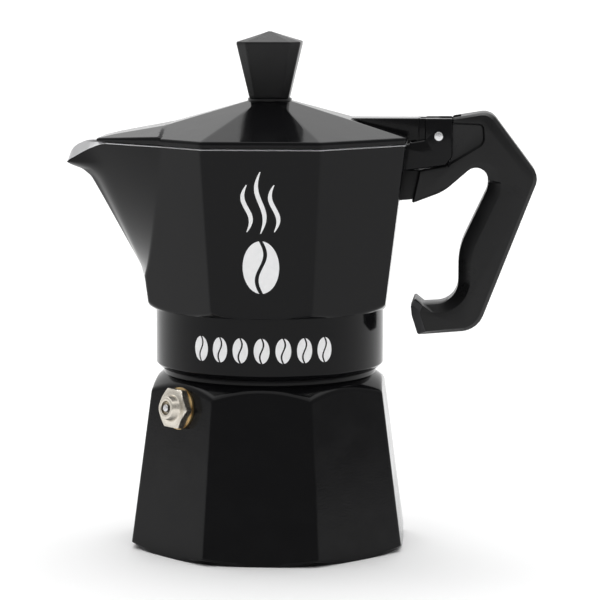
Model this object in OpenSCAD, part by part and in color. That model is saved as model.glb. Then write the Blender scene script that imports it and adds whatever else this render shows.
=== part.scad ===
// Stovetop moka pot: a boiler, a coffee funnel and a screwed-on collector with a hinged lid.
// Millimetres, +Z up. The origin is on the pot's axis at the base. The handle points to +X and
// the spout to -X.

/* [Boiler] */
// Width across the flats of the octagonal base
base_flats = 86.2; // [76:0.2:120]
// How much wider than the flats the round is that trims the base's eight corners
base_round_over = 2.4; // [0.4:0.1:5]
// Height from the table to the top of the threaded neck
boiler_h = 70.5; // [58:0.5:110]
// Height of the threaded neck above the shoulder
neck_h = 15.3; // [13:0.1:22]
// Outer diameter of the neck over its thread
neck_d = 66.6; // [60:0.1:82]
// Thickness of the neck's wall
neck_wall = 3.5; // [2.5:0.1:5]
// Width of the shoulder's flats outside the neck
shoulder_ledge = 2.65; // [1:0.05:6]
// Fall of the shoulder below level, in degrees
shoulder_fall = 37; // [20:1:50]
// Thickness of the boiler's side wall
boiler_wall = 2.7; // [2:0.1:5]
// Thickness of the boiler's floor
boiler_floor = 3; // [2:0.1:6]

/* [Safety valve] */
// Distance of the valve below the top of the shoulder, along the height
valve_below = 8.6; // [7:0.1:14]
// Width across the flats of the valve's hexagon
valve_hex = 12; // [9:0.5:16]
// Thickness of the valve's hexagon
valve_hex_t = 3; // [2:0.1:5]
// Outer diameter of the valve's round nose
valve_nose_d = 8.4; // [7.4:0.1:10.4]
// Length of the valve's nose in front of its hexagon
valve_nose_l = 2.5; // [2.2:0.1:6]
// Diameter of the valve's shank through the boiler wall
valve_shank_d = 9.4; // [8:0.1:12]
// Diameter of the poppet's stem
poppet_stem_d = 2.3; // [1.6:0.1:3]
// Turns of the valve's spring
spring_turns = 4; // [3:1:7]

/* [Funnel] */
// Depth of the coffee basket below the neck's top
basket_depth = 20.5; // [14:0.5:30]
// Wall of the pressed funnel
funnel_t = 1; // [0.6:0.1:1.6]
// Height of the cone under the basket
funnel_cone_h = 9; // [6:0.5:16]
// Outer diameter of the funnel's stem
stem_d = 10.6; // [8:0.2:14]
// Gap between the stem's end and the boiler's floor
stem_gap = 4; // [2:0.5:8]

/* [Seal] */
// Thickness of the rubber gasket
gasket_t = 4; // [3:0.1:6]
// Radial width of the gasket
gasket_w = 6; // [4:0.5:8]
// Thickness of the perforated plates
plate_t = 0.8; // [0.5:0.1:1.2]
// Diameter of the holes in the perforated plates
plate_hole_d = 1.4; // [0.8:0.1:2]

/* [Collector] */
// Wall of the threaded skirt round the neck
skirt_wall = 2.7; // [2:0.1:5]
// Height of the collector from the step under its body to its rim
collector_h = 52.5; // [42:0.5:80]
// Width across the flats of the octagonal rim
rim_flats = 87.2; // [80:0.2:110]
// Step of the octagonal body outside the round skirt
body_step = 0.8; // [0.4:0.1:3]
// Thickness of the collector's wall
collector_wall = 2.4; // [1.8:0.1:4]
// Thickness of the collector's floor
collector_floor = 3; // [2.4:0.1:5]

/* [Spout] */
// Distance of the spout's tip from the pot's axis
spout_reach = 66.8; // [58:0.2:84]
// Height of the spout's tip below the rim
spout_drop = 6.8; // [3:0.1:12]
// Half of the angle between the spout's flanks at the rim, in degrees
spout_half_angle = 40.5; // [38:0.5:44]
// Height of the prow's bend above the body's bottom
prow_bend_up = 13.2; // [6:0.2:20]
// How far the prow stands out of the flat below its bend
prow_stand = 2.1; // [1:0.1:4]

/* [Column] */
// Height of the column's top above the collector's floor
column_h = 37; // [25:0.5:46]
// Outer diameter of the column at its foot
column_d = 11; // [9:0.2:14]
// Bore of the column
column_bore = 5; // [3:0.2:7]

/* [Lid] */
// Thickness of the lid at its edge
lid_edge_h = 2; // [1.6:0.1:4]
// Rise of the lid's eight slopes from the edge to their common point
lid_rise = 12.6; // [8:0.2:20]
// Thickness of the lid's sheet
lid_t = 1.5; // [1:0.1:2.5]
// Distance of the beak's blunt nose from the pot's axis
beak_reach = 54.2; // [50:0.2:58]

/* [Knob] */
// Height of the knob from its seat to its point
knob_h = 21; // [14:0.5:32]
// Width of the knob at its foot
knob_foot_w = 12.4; // [11.6:0.2:18]
// Width of the knob at its flared top
knob_top_w = 20.2; // [16:0.2:28]

/* [Hinge and handle] */
// Diameter of the hinge pin
pin_d = 3; // [2:0.1:4]
// Distance of the hinge pin outside the rim's flat
pin_out = 10; // [9:0.1:14]
// Height of the hinge pin above the rim
pin_up = 2.15; // [1:0.05:3]
// Gap between the two ears that carry the pin
ear_gap = 12; // [10:0.1:15]
// Thickness of each ear
ear_t = 2.6; // [2:0.1:4]
// Angle at which the open lid rests on the handle, in degrees
lid_open_angle = 100; // [85:1:105]
// Width of the handle
handle_w = 16.4; // [14.4:0.2:20]
// Distance of the handle's outer knuckle beyond the pin
grip_out = 31.6; // [26:0.2:42]
// Depth of the handle's lowest corner below the pin
grip_drop = 63.2; // [52:0.2:72]
// Thickness of the grip
grip_t = 14.6; // [11:0.2:18]

/* [Hidden] */
$fn = 96;

// Clearances between mating pieces
thread_gap = 0.3;
basket_gap = 0.5;
gasket_gap = 1.1;
plate_gap = 0.3;
running_gap = 0.06;
press_gap = 0.02;
seat_gap = 0.02;
lid_gap = 0.25;
fork_gap = 0.3;
hinge_gap = 0.1;
wall_gap = 0.1;
cut = 0.5;
far = 300;

// Boiler heights and radii
base_apothem = base_flats / 2;
base_round_d = base_flats + base_round_over;
neck_r = neck_d / 2;
mouth_r = neck_r - neck_wall;
shoulder_z = boiler_h - neck_h;
shoulder_apothem = neck_r + shoulder_ledge;
boiler_lean = atan((base_apothem - shoulder_apothem) / shoulder_z);
waist_h = 1.9;
waist_r = neck_r + 0.6;
base_edge = 1;

// Safety valve, on the facet that faces between the spout and the front
valve_turn = 225;
valve_z = shoulder_z - valve_below;
valve_washer_t = 0.6;
valve_nose_r = valve_nose_d / 2;
valve_shank_r = valve_shank_d / 2;
valve_shank_l = boiler_wall + 1.8;
valve_seat_t = 2.6;
valve_bore_r = valve_nose_r - 1.3;
valve_seat_r = 1.5;
valve_front = valve_washer_t + valve_hex_t + valve_nose_l;
valve_cap_t = 1.6;
valve_cap_in = 0.3;
poppet_head_r = valve_bore_r - 0.4;
poppet_head_t = 1.2;
stem_r = poppet_stem_d / 2;
poppet_proud = 0.4;
valve_seat_u = valve_seat_t - valve_shank_l;
spring_wire_r = 0.28;
spring_r = (stem_r + valve_bore_r) / 2;

// Funnel
basket_r = mouth_r - basket_gap;
flange_r = neck_r - 1;
flange_top_z = boiler_h + funnel_t;
basket_bottom_z = boiler_h - basket_depth;
cone_bottom_z = basket_bottom_z - funnel_cone_h;
stem_bottom_z = boiler_floor + stem_gap;
ledge_w = 1;

// Seal and collector floor
gasket_r = neck_r + thread_gap - gasket_gap;
gasket_bore_r = gasket_r - gasket_w;
seat_z = flange_top_z + gasket_t;
filter_r = gasket_bore_r + 1.5;
filter_recess_r = filter_r + plate_gap;
filter_recess_h = plate_t + 0.2;
dome_r = gasket_bore_r - 1;
dome_h = 1;
floor_z = seat_z + filter_recess_h + dome_h + collector_floor;

// Collector body
skirt_r = neck_r + thread_gap + skirt_wall;
skirt_bottom_z = shoulder_z + waist_h - 0.25;
skirt_chamfer = 1.6;
body_z = seat_z + 0.75;
rim_z = body_z + collector_h;
rim_apothem = rim_flats / 2;
foot_apothem = skirt_r + body_step;
collector_lean = atan((rim_apothem - foot_apothem) / collector_h);
foot_round = 0.5;
foot_rise = 2.4;

// Spout
half_corner = tan(22.5);
spout_spread = 17;
spout_rise_power = 0.8;
lip_arc_r = 20.5;
lip_arc_in = 15.6;
lip_t = 1.2;

// Column
column_top_z = floor_z + column_h;
column_top_r = column_d / 2 - 1.2;
column_cap_r = column_top_r + 1;
column_cap_h = 4.6;
column_cap_grip = 2.4;
outlet_w = 2.2;
outlet_h = 1.3;

// Lid
lid_z = rim_z + lid_gap;
lid_apothem = rim_apothem + 0.1;
lid_edge_z = lid_z + lid_edge_h;
lid_apex_z = lid_edge_z + lid_rise;
lid_slope = lid_rise / lid_apothem;
lid_rest_w = collector_wall + 0.6;
beak_start = 32;
beak_crest_in = 5.6;
beak_nose_h = 0.9;
beak_crest_h = 2.4;

// Knob and its screw
hub_r = knob_foot_w / 2 + 0.8;
// Held to a hundredth, so that the knob and its seat meet in one plane at any size
knob_z = round(100 * (lid_apex_z - lid_slope * hub_r + 0.9)) / 100;
hub_under_z = knob_z - 3.1;
hub_under_r = 5.6;
knob_flare_z = knob_z + knob_h - 4;
knob_band = 0.8;
knob_point_w = 2.4;
knob_corner = 0.68;
insert_r = 3;
insert_l = 8;
insert_in = 0.8;
screw_r = 1.9;
screw_head_r = 3.4;
screw_head_h = 2;
screw_l = 11;
knob_washer_t = 0.8;
knob_washer_r = 5;

// Hinge, all measured from the pin
pin_x = rim_apothem + pin_out;
pin_z = rim_z + pin_up;
pin_r = pin_d / 2;
ear_half = 4.2;
ear_top = 5.6;
ear_bottom = -8.4;
lug_half_w = ear_gap / 2 + ear_t;
lug_front_top = -pin_up - 0.35;
lug_foot = -10.2;
arm_half_w = ear_gap / 2 - fork_gap / 2;
arm_top = 5.5;
arm_start = -28;
knuckle_r = 4.8;
arm_heel = 7.2;
prong_t = 2.8;
tongue_half_w = arm_half_w - prong_t - fork_gap;
tongue_r = 4.5;
fork_slot_x = -tongue_r - 1.2;
slot_floor = -knuckle_r - 0.9;

// Handle outline, measured from the pin: corner points [across, up, corner radius]
grip_lean = 21.2;
crest_rise = 7.8;
crest_out = 16.4;
knuckle_drop = 12.5;
heel_x = grip_out - (grip_drop - 2 - knuckle_drop) * tan(grip_lean);
handle_back = ear_half + hinge_gap;
handle_top_in = 5.8;
jaw_top_drop = -lug_foot + hinge_gap;

function unit(v) = v / norm(v);

// Points of an arc of radius r that rounds the corner b between a and c, in n steps
function corner_arc(a, b, c, r, n) =
    let (
        u = unit(a - b),
        v = unit(c - b),
        half = acos(max(-1, min(1, u * v))) / 2,
        centre = b + unit(u + v) * r / sin(half),
        p = b + u * r / tan(half) - centre,
        q = b + v * r / tan(half) - centre,
        start = atan2(p.y, p.x),
        sweep = atan2(q.y, q.x) - start,
        turn = sweep > 180 ? sweep - 360 : sweep < -180 ? sweep + 360 : sweep
    )
    [for (i = [0 : n]) centre + r * [cos(start + turn * i / n), sin(start + turn * i / n)]];

// A closed outline from points [x, y, r]: each corner with an r over zero is rounded
function rounded(pts, n = 8) =
    let (count = len(pts))
    [for (i = [0 : count - 1])
        let (
            a = pts[(i + count - 1) % count],
            b = pts[i],
            c = pts[(i + 1) % count]
        )
        each b[2] == 0 ? [[b.x, b.y]] :
            corner_arc([a.x, a.y], [b.x, b.y], [c.x, c.y], b[2], n)];

// Distance of the collector's flats from the axis at height z
function collector_apothem(z) = rim_apothem - (rim_z - z) * tan(collector_lean);

// An octagonal block with flats facing X and Y, whose flats lean in as they rise if lean > 0
module octagon_block(apothem, lean, z0, z1) {
    reach = apothem + abs((z1 - z0) * tan(lean)) + 2;
    difference() {
        translate([-reach, -reach, z0])
            cube([2 * reach, 2 * reach, z1 - z0]);
        for (k = [0 : 7])
            rotate([0, 0, 45 * k])
                translate([apothem, 0, z0])
                    rotate([0, -lean, 0])
                        translate([0, -2 * reach, -far / 2])
                            cube([3 * reach, 4 * reach, far]);
    }
}

// A flat outline in X and Z, drawn from the hinge pin and given a width along Y
module side_plate(pts, w) {
    translate([pin_x, w / 2, pin_z])
        rotate([90, 0, 0])
            linear_extrude(w)
                polygon(pts);
}

// Places its children on the boiler's valve facet, with +Z along the valve out of the wall
module at_valve() {
    rotate([0, 0, valve_turn])
        translate([base_apothem - valve_z * tan(boiler_lean), 0, valve_z])
            rotate([0, 90 - boiler_lean, 0])
                children();
}

// The disc of holes that both perforated plates share
module perforated_disc(r, t) {
    ring_step = 4.1;
    rings = floor((r - 2) / ring_step);
    difference() {
        cylinder(r = r, h = t);
        for (ring = [0 : rings])
            for (k = [0 : max(0, 6 * ring - 1)])
                rotate([0, 0, ring == 0 ? 0 : 60 * k / ring])
                    translate([ring * ring_step, 0, -cut])
                        cylinder(d = plate_hole_d, h = t + 2 * cut, $fn = 24);
    }
}

// Cast aluminium boiler: eight leaning flats, a turned shoulder and a neck for the thread
module boiler() {
    shoulder_out = base_round_d / 2 + 2.6;
    shoulder_low = shoulder_z - (shoulder_out - waist_r) * tan(shoulder_fall);
    cavity_foot_r = base_apothem - boiler_wall - boiler_floor * tan(boiler_lean);
    cavity_top_z = shoulder_z - 6.5;
    cavity_top_r = base_apothem - boiler_wall - cavity_top_z * tan(boiler_lean);
    cavity = rounded([
        [0, boiler_floor, 0],
        [cavity_foot_r, boiler_floor, 5],
        [cavity_top_r, cavity_top_z, 2],
        [mouth_r, shoulder_z - 0.5, 2],
        [mouth_r, boiler_h + cut, 0],
        [0, boiler_h + cut, 0]
    ], 5);
    color("#17181a")
        difference() {
            union() {
                intersection() {
                    octagon_block(base_apothem, boiler_lean, 0, shoulder_z);
                    rotate_extrude()
                        polygon([
                            [0, 0],
                            [base_round_d / 2 - base_edge, 0],
                            [base_round_d / 2, base_edge / 2],
                            [shoulder_out, base_edge * 2],
                            [shoulder_out, shoulder_low],
                            [waist_r, shoulder_z],
                            [0, shoulder_z]
                        ]);
                }
                translate([0, 0, shoulder_z - 1])
                    cylinder(r = waist_r, h = waist_h + 1 - 0.6);
                translate([0, 0, shoulder_z - 1])
                    cylinder(r = neck_r, h = neck_h + 1);
            }
            rotate_extrude()
                polygon(cavity);
            at_valve()
                translate([0, 0, -boiler_wall - 6])
                    cylinder(r = valve_shank_r + press_gap, h = boiler_wall + 12);
            // The flat spot face that the valve's washer beds on
            at_valve()
                cylinder(d = valve_hex * 1.2, h = 4);
        }
}

// Thin flat washer under the valve's hexagon
module valve_washer() {
    color("#b08d57")
        at_valve()
            difference() {
                cylinder(d = valve_hex * 1.1, h = valve_washer_t);
                translate([0, 0, -cut])
                    cylinder(r = valve_shank_r + 0.1, h = valve_washer_t + 2 * cut);
            }
}

// Plated brass valve body: a shank in the wall, a hexagon for the spanner and a round nose
module valve_body() {
    color("#c9c0ad")
        at_valve()
            difference() {
                union() {
                    translate([0, 0, -valve_shank_l])
                        cylinder(r = valve_shank_r, h = valve_shank_l + valve_washer_t + 0.1);
                    translate([0, 0, valve_washer_t])
                        rotate([0, 0, 30])
                            cylinder(d = valve_hex / cos(30), h = valve_hex_t, $fn = 6);
                    translate([0, 0, valve_washer_t])
                        cylinder(r = valve_nose_r, h = valve_front - valve_washer_t);
                }
                translate([0, 0, -valve_shank_l - cut])
                    cylinder(r = valve_seat_r, h = far);
                translate([0, 0, valve_seat_u])
                    cylinder(r = valve_bore_r, h = far);
            }
}

// Ring pressed into the nose: it holds the spring and guides the poppet's stem
module valve_cap() {
    color("#b9b0a0")
        at_valve()
            translate([0, 0, valve_front - valve_cap_in - valve_cap_t])
                difference() {
                    cylinder(r = valve_bore_r - press_gap, h = valve_cap_t);
                    translate([0, 0, -cut])
                        cylinder(r = stem_r + running_gap, h = valve_cap_t + 2 * cut);
                }
}

// Poppet: a coned head on the seat and a stem that shows in the middle of the nose
module valve_poppet() {
    nib_r = valve_seat_r - 0.15;
    color("#cfc9b8")
        at_valve()
            rotate_extrude()
                polygon([
                    [0, valve_seat_u - 0.8],
                    [nib_r, valve_seat_u + seat_gap],
                    [poppet_head_r, valve_seat_u + seat_gap],
                    [poppet_head_r, valve_seat_u + poppet_head_t],
                    [stem_r, valve_seat_u + poppet_head_t],
                    [stem_r, valve_front + poppet_proud - 0.3],
                    [stem_r - 0.3, valve_front + poppet_proud],
                    [0, valve_front + poppet_proud]
                ]);
}

// Coil spring between the poppet's head and the cap: rings of six points swept up a helix
module valve_spring() {
    side = 6;
    per_turn = 14;
    z0 = valve_seat_u + poppet_head_t + spring_wire_r + 0.05;
    z1 = valve_front - valve_cap_in - valve_cap_t - spring_wire_r - 0.05;
    count = spring_turns * per_turn;
    pts = [for (i = [0 : count])
        for (j = [0 : side - 1])
            let (
                around = 360 * i / per_turn,
                across = spring_r + spring_wire_r * cos(360 * j / side)
            )
            [across * cos(around), across * sin(around),
                z0 + (z1 - z0) * i / count + spring_wire_r * sin(360 * j / side)]];
    skin = [for (i = [0 : count - 1])
        for (j = [0 : side - 1])
            let (k = (j + 1) % side)
            [i * side + j, i * side + side + j, i * side + side + k, i * side + k]];
    caps = [[for (j = [0 : side - 1]) j], [for (j = [side - 1 : -1 : 0]) count * side + j]];
    color("#9aa0a6")
        at_valve()
            polyhedron(pts, concat(skin, caps), convexity = 10);
}

// Pressed aluminium funnel: a coffee basket with a flange, a cone and a stem
module funnel() {
    stem_r_out = stem_d / 2;
    color("#c4c7ca")
        rotate_extrude()
            polygon([
                [stem_r_out - funnel_t, stem_bottom_z],
                [stem_r_out, stem_bottom_z],
                [stem_r_out, cone_bottom_z],
                [basket_r, basket_bottom_z],
                [basket_r, boiler_h],
                [flange_r, boiler_h],
                [flange_r, flange_top_z],
                [basket_r - funnel_t, flange_top_z],
                [basket_r - funnel_t, basket_bottom_z + funnel_t],
                [basket_r - funnel_t - ledge_w, basket_bottom_z + funnel_t],
                [stem_r_out - funnel_t, cone_bottom_z + funnel_t]
            ]);
}

// Perforated disc that the ground coffee lies on
module funnel_plate() {
    color("#b4b8bc")
        translate([0, 0, basket_bottom_z + funnel_t])
            perforated_disc(basket_r - funnel_t - press_gap, plate_t);
}

// White rubber ring that seals the funnel's flange to the collector
module gasket() {
    color("#e8e4da")
        translate([0, 0, flange_top_z])
            difference() {
                cylinder(r = gasket_r, h = gasket_t);
                translate([0, 0, -cut])
                    cylinder(r = gasket_bore_r, h = gasket_t + 2 * cut);
            }
}

// Perforated disc over the gasket's inner edge
module filter_plate() {
    color("#b4b8bc")
        translate([0, 0, seat_z])
            perforated_disc(filter_r, plate_t);
}

// The prow line of the spout from the body's bottom to its tip, as [distance from axis, height]
function prow_line() =
    let (
        foot = [foot_apothem + prow_stand, body_z],
        bend_z = body_z + prow_bend_up,
        bend = [collector_apothem(bend_z) + prow_stand, bend_z],
        tip = [spout_reach, rim_z - spout_drop],
        lip = [spout_reach - 9, tip.y - 2.6]
    )
    concat([foot], corner_arc(foot, bend, lip, 18, 6), corner_arc(bend, lip, tip, 9, 7),
        [tip, [spout_reach, rim_z + 1]]);

// Where the spout's flank leaves the flat beside it, for height z, on the +Y side
function flank_end(z) =
    let (
        a = collector_apothem(z),
        bend_z = body_z + prow_bend_up - 2,
        rise = max(0, z - bend_z) / (rim_z - bend_z),
        along = spout_spread * pow(rise, spout_rise_power) * sin(45)
    )
    [-a + along, a * half_corner + along];

// The spout as a solid whose level sections are blunt wedges, moved in by wall and up by lift
module spout_wedge(wall, lift) {
    bury = 0.25;
    core = 0.6;
    line = prow_line();
    rings = [for (p = line)
        let (
            end = flank_end(min(p.y, rim_z)),
            ridge = [-p.x, 0],
            along = end - ridge,
            shift = wall * norm(along) / along.y,
            flank = end + [shift, 0],
            side = flank * (1 - bury / norm(flank)),
            z = p.y + lift
        )
        [[-p.x + shift, 0, z], [side.x, -side.y, z], [side.x * core, -side.y * core, z],
            [side.x * core, side.y * core, z], [side.x, side.y, z]]];
    n = 5;
    count = len(rings);
    skin = [for (i = [0 : count - 2])
        for (j = [0 : n - 1])
            let (k = (j + 1) % n)
            each [
                [i * n + j, i * n + n + j, i * n + n + k],
                [i * n + j, i * n + n + k, i * n + k]
            ]];
    caps = [[for (j = [0 : n - 1]) j], [for (j = [n - 1 : -1 : 0]) (count - 1) * n + j]];
    polyhedron([for (r = rings) each r], concat(skin, caps), convexity = 6);
}

// The material above the curved rim of the spout, as a cutter
module lip_cut() {
    depth = lip_arc_r + 2;
    arc_x = -(spout_reach - lip_arc_in - 0.9);
    difference() {
        translate([-far, -far / 2, rim_z - depth])
            cube([far + arc_x, far, depth + 10]);
        translate([arc_x, far / 2, rim_z - lip_arc_r])
            rotate([90, 0, 0])
                cylinder(r = lip_arc_r, h = far);
        translate([arc_x - lip_arc_r * 0.8, -far / 2, rim_z - depth - 1])
            cube([lip_arc_r, far, depth - 12]);
    }
}

// The lug that stands out of the rim under the hinge, drawn from the pin; grow adds clearance
function lug_outline(grow) = rounded([
    [-pin_out - 3, lug_foot - 0.9 - grow, 0],
    [ear_half - 2, lug_foot + 1.2 - grow, 0],
    [ear_half + grow, ear_bottom + 1.8 - grow, 3.4],
    [ear_half + grow, ear_top, 0],
    [-ear_half - 0.1, ear_top, 0],
    [-ear_half - 0.1, lug_front_top + 1.3, 0],
    [-pin_out + 1.2, lug_front_top + 0.5, 0],
    [-pin_out + 0.8, lug_front_top, 0],
    [-pin_out - 3, lug_front_top, 0]
], 5);

// Cast aluminium collector: octagonal body, threaded skirt, spout and the two hinge ears
module collector() {
    foot_r = foot_apothem + foot_round;
    color("#17181a")
        difference() {
            union() {
                intersection() {
                    octagon_block(foot_apothem, -collector_lean, body_z, rim_z);
                    rotate_extrude()
                        polygon([
                            [0, body_z],
                            [foot_r, body_z],
                            [foot_r + 1.5, body_z + 0.9],
                            [foot_r + 3, body_z + foot_rise],
                            [rim_apothem * 1.2, body_z + foot_rise],
                            [rim_apothem * 1.2, rim_z],
                            [0, rim_z]
                        ]);
                }
                spout_wedge(0, 0);
                translate([0, 0, skirt_bottom_z + skirt_chamfer])
                    cylinder(r = skirt_r, h = body_z - skirt_bottom_z - skirt_chamfer + 1);
                translate([0, 0, skirt_bottom_z])
                    cylinder(r1 = skirt_r - skirt_chamfer, r2 = skirt_r, h = skirt_chamfer);
                side_plate(lug_outline(0), 2 * lug_half_w);
            }
            // Everything over the rim, but not the ears
            translate([-far, -far, rim_z])
                cube([far + rim_apothem + 1, 2 * far, far]);
            lip_cut();
            // Inside of the body and of the spout
            octagon_block(collector_apothem(floor_z) - collector_wall, -collector_lean,
                floor_z, rim_z + cut);
            intersection() {
                spout_wedge(collector_wall, lip_t);
                translate([-far / 2, -far / 2, floor_z])
                    cube([far, far, far]);
            }
            // Room for the neck, the gasket, the filter plate and the coffee over it
            translate([0, 0, skirt_bottom_z - cut])
                cylinder(r = neck_r + thread_gap, h = seat_z - skirt_bottom_z + cut);
            translate([0, 0, seat_z - cut])
                cylinder(r = filter_recess_r, h = filter_recess_h + cut);
            translate([0, 0, seat_z])
                cylinder(r = dome_r, h = filter_recess_h + dome_h);
            translate([0, 0, seat_z])
                cylinder(d = column_bore, h = far);
            // Room between the ears for the lid's fork, and in front of them
            translate([pin_x - pin_out + 1, -ear_gap / 2, pin_z + slot_floor])
                cube([pin_out + ear_half + 2, ear_gap, far]);
            translate([pin_x, far / 2, pin_z])
                rotate([90, 0, 0])
                    cylinder(r = pin_r + press_gap, h = far);
        }
}

// Aluminium tube that the coffee rises through
module column() {
    color("#c4c7ca")
        difference() {
            translate([0, 0, floor_z])
                cylinder(r1 = column_d / 2, r2 = column_top_r, h = column_h);
            translate([0, 0, floor_z - cut])
                cylinder(d = column_bore, h = column_h + 2 * cut);
        }
}

// Cap pressed over the column's end, with two side outlets
module column_cap() {
    cap_z = column_top_z - column_cap_grip;
    color("#b4b8bc")
        difference() {
            translate([0, 0, cap_z])
                cylinder(r1 = column_cap_r, r2 = column_cap_r - 0.6, h = column_cap_h);
            translate([0, 0, cap_z - cut])
                cylinder(r = column_top_r + 0.12, h = column_cap_grip + cut);
            translate([0, 0, column_top_z - cut])
                cylinder(d = column_bore, h = outlet_h + cut);
            translate([-far / 2, -outlet_w / 2, column_top_z])
                cube([far, outlet_w, outlet_h]);
        }
}

// The handle's closed outline, drawn from the pin, clockwise from the top of the block
function handle_outline() =
    let (
        grip_in_x = grip_out - grip_t / cos(grip_lean),
        arch_x = grip_out - 16,
        palm_x = heel_x - 6.2
    )
    rounded([
        [handle_back, handle_top_in, 0.8],
        [crest_out, crest_rise, 4],
        [grip_out, -knuckle_drop, 4.5],
        [heel_x, 2 - grip_drop, 5],
        [-ear_half - 2, -grip_drop, 0.8],
        [-ear_half - 4.4, 9 - grip_drop, 3],
        [-ear_half - 3, 12.8 - grip_drop, 0.7],
        [-ear_half - 0.6, 9.2 - grip_drop, 3],
        [palm_x, 9.2 - grip_drop, 7],
        [palm_x, 27.6 - grip_drop, 22],
        [arch_x, 4 - knuckle_drop - 7.8, 7],
        [arch_x, 1.2 - knuckle_drop + 6, 3.8],
        [1.7, -17.4, 16],
        [-pin_out + 1.6, -21.2, 0.5],
        [-pin_out + 3.9, -jaw_top_drop - 0.6, 0],
        [ear_half - 1.6, -jaw_top_drop + 1.2, 0],
        [handle_back, ear_bottom + 1.5, 3.4]
    ]);

// Space that the lid's arm sweeps as it opens, and where it stops, drawn from the pin
function swing_outline() =
    let (
        steps = 12,
        first = -90,
        last = 90 - lid_open_angle,
        step = (last - first) / steps,
        r = (arm_top + fork_gap) / cos(step / 2),
        stop = r * [cos(last), sin(last)]
    )
    concat(
        [[-1, -r]],
        [for (i = [0 : steps]) r * [cos(first + step * i), sin(first + step * i)]],
        [stop + 2 * arm_top * [-sin(last), cos(last)], [-1, 2 * arm_top]]
    );

// Black nylon handle: block, jaw under the lug, grip with a hooked end, and the hinge tongue
module handle() {
    tongue = rounded([
        [handle_back + 3, -tongue_r, 0],
        [handle_back + 3, 0, 0],
        [tongue_r - 1, tongue_r, 2],
        [-tongue_r, tongue_r, tongue_r - 0.5],
        [-tongue_r, -tongue_r, tongue_r - 0.5]
    ]);
    pocket = rounded([
        [handle_back - 1, 3.8, 0],
        [14, 3.6, 1.6],
        [14.4, -2.6, 3],
        [handle_back - 1, -8.6, 0]
    ]);
    pocket_depth = 1;
    // The rib closes the gap between the jaw and the leaning wall
    rib_top = jaw_top_drop + 1.2;
    rib_foot = 20.6;
    wall_lean = tan(collector_lean);
    rib = [
        [-pin_out - (rib_top - pin_up) * wall_lean + wall_gap, -rib_top],
        [-pin_out - (rib_foot - pin_up) * wall_lean + wall_gap, -rib_foot],
        [-pin_out + 4, -rib_foot + 0.6],
        [-pin_out + 6, -rib_top]
    ];
    color("#1c1c1e")
        difference() {
            union() {
                difference() {
                    side_plate(handle_outline(), handle_w);
                    side_plate(swing_outline(), 2 * (arm_half_w + fork_gap));
                }
                side_plate(tongue, 2 * tongue_half_w);
                side_plate(rib, handle_w / 2);
            }
            for (s = [-1, 1])
                translate([0, s * (handle_w - pocket_depth) / 2, 0])
                    side_plate(pocket, pocket_depth + cut);
            translate([pin_x, far / 2, pin_z])
                rotate([90, 0, 0])
                    cylinder(r = pin_r + press_gap, h = far);
        }
}

// Steel pin through the ears, the lid's fork and the handle's tongue
module hinge_pin() {
    color("#c8ccd0")
        translate([pin_x, lug_half_w + 0.1, pin_z])
            rotate([90, 0, 0])
                cylinder(r = pin_r, h = 2 * lug_half_w + 0.2);
}

// The roof of the lid's beak between its start and its nose, lowered and drawn in by t
module beak(t) {
    tan_flank = tan(spout_half_angle);
    nose_w = (spout_reach - beak_reach) * tan_flank - t;
    start_w = (spout_reach - beak_start) * tan_flank - t;
    crest_w = beak_start * half_corner;
    roof_z = lid_apex_z - lid_slope * beak_start - t;
    low_z = lid_z - (t > 0 ? cut : 0);
    crest_x = beak_reach - beak_crest_in;
    hull() {
        translate([-beak_start, -start_w, low_z])
            cube([0.01, 2 * start_w, lid_edge_z - low_z - t]);
        translate([-beak_start, -crest_w, low_z])
            cube([0.01, 2 * crest_w, roof_z - low_z]);
        translate([-crest_x, -3, low_z])
            cube([0.01, 6, lid_z + beak_crest_h - low_z - t]);
        translate([-beak_reach + t, -nose_w, low_z])
            cube([0.01, 2 * nose_w, lid_z + beak_nose_h - low_z - t / 4]);
    }
}

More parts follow.
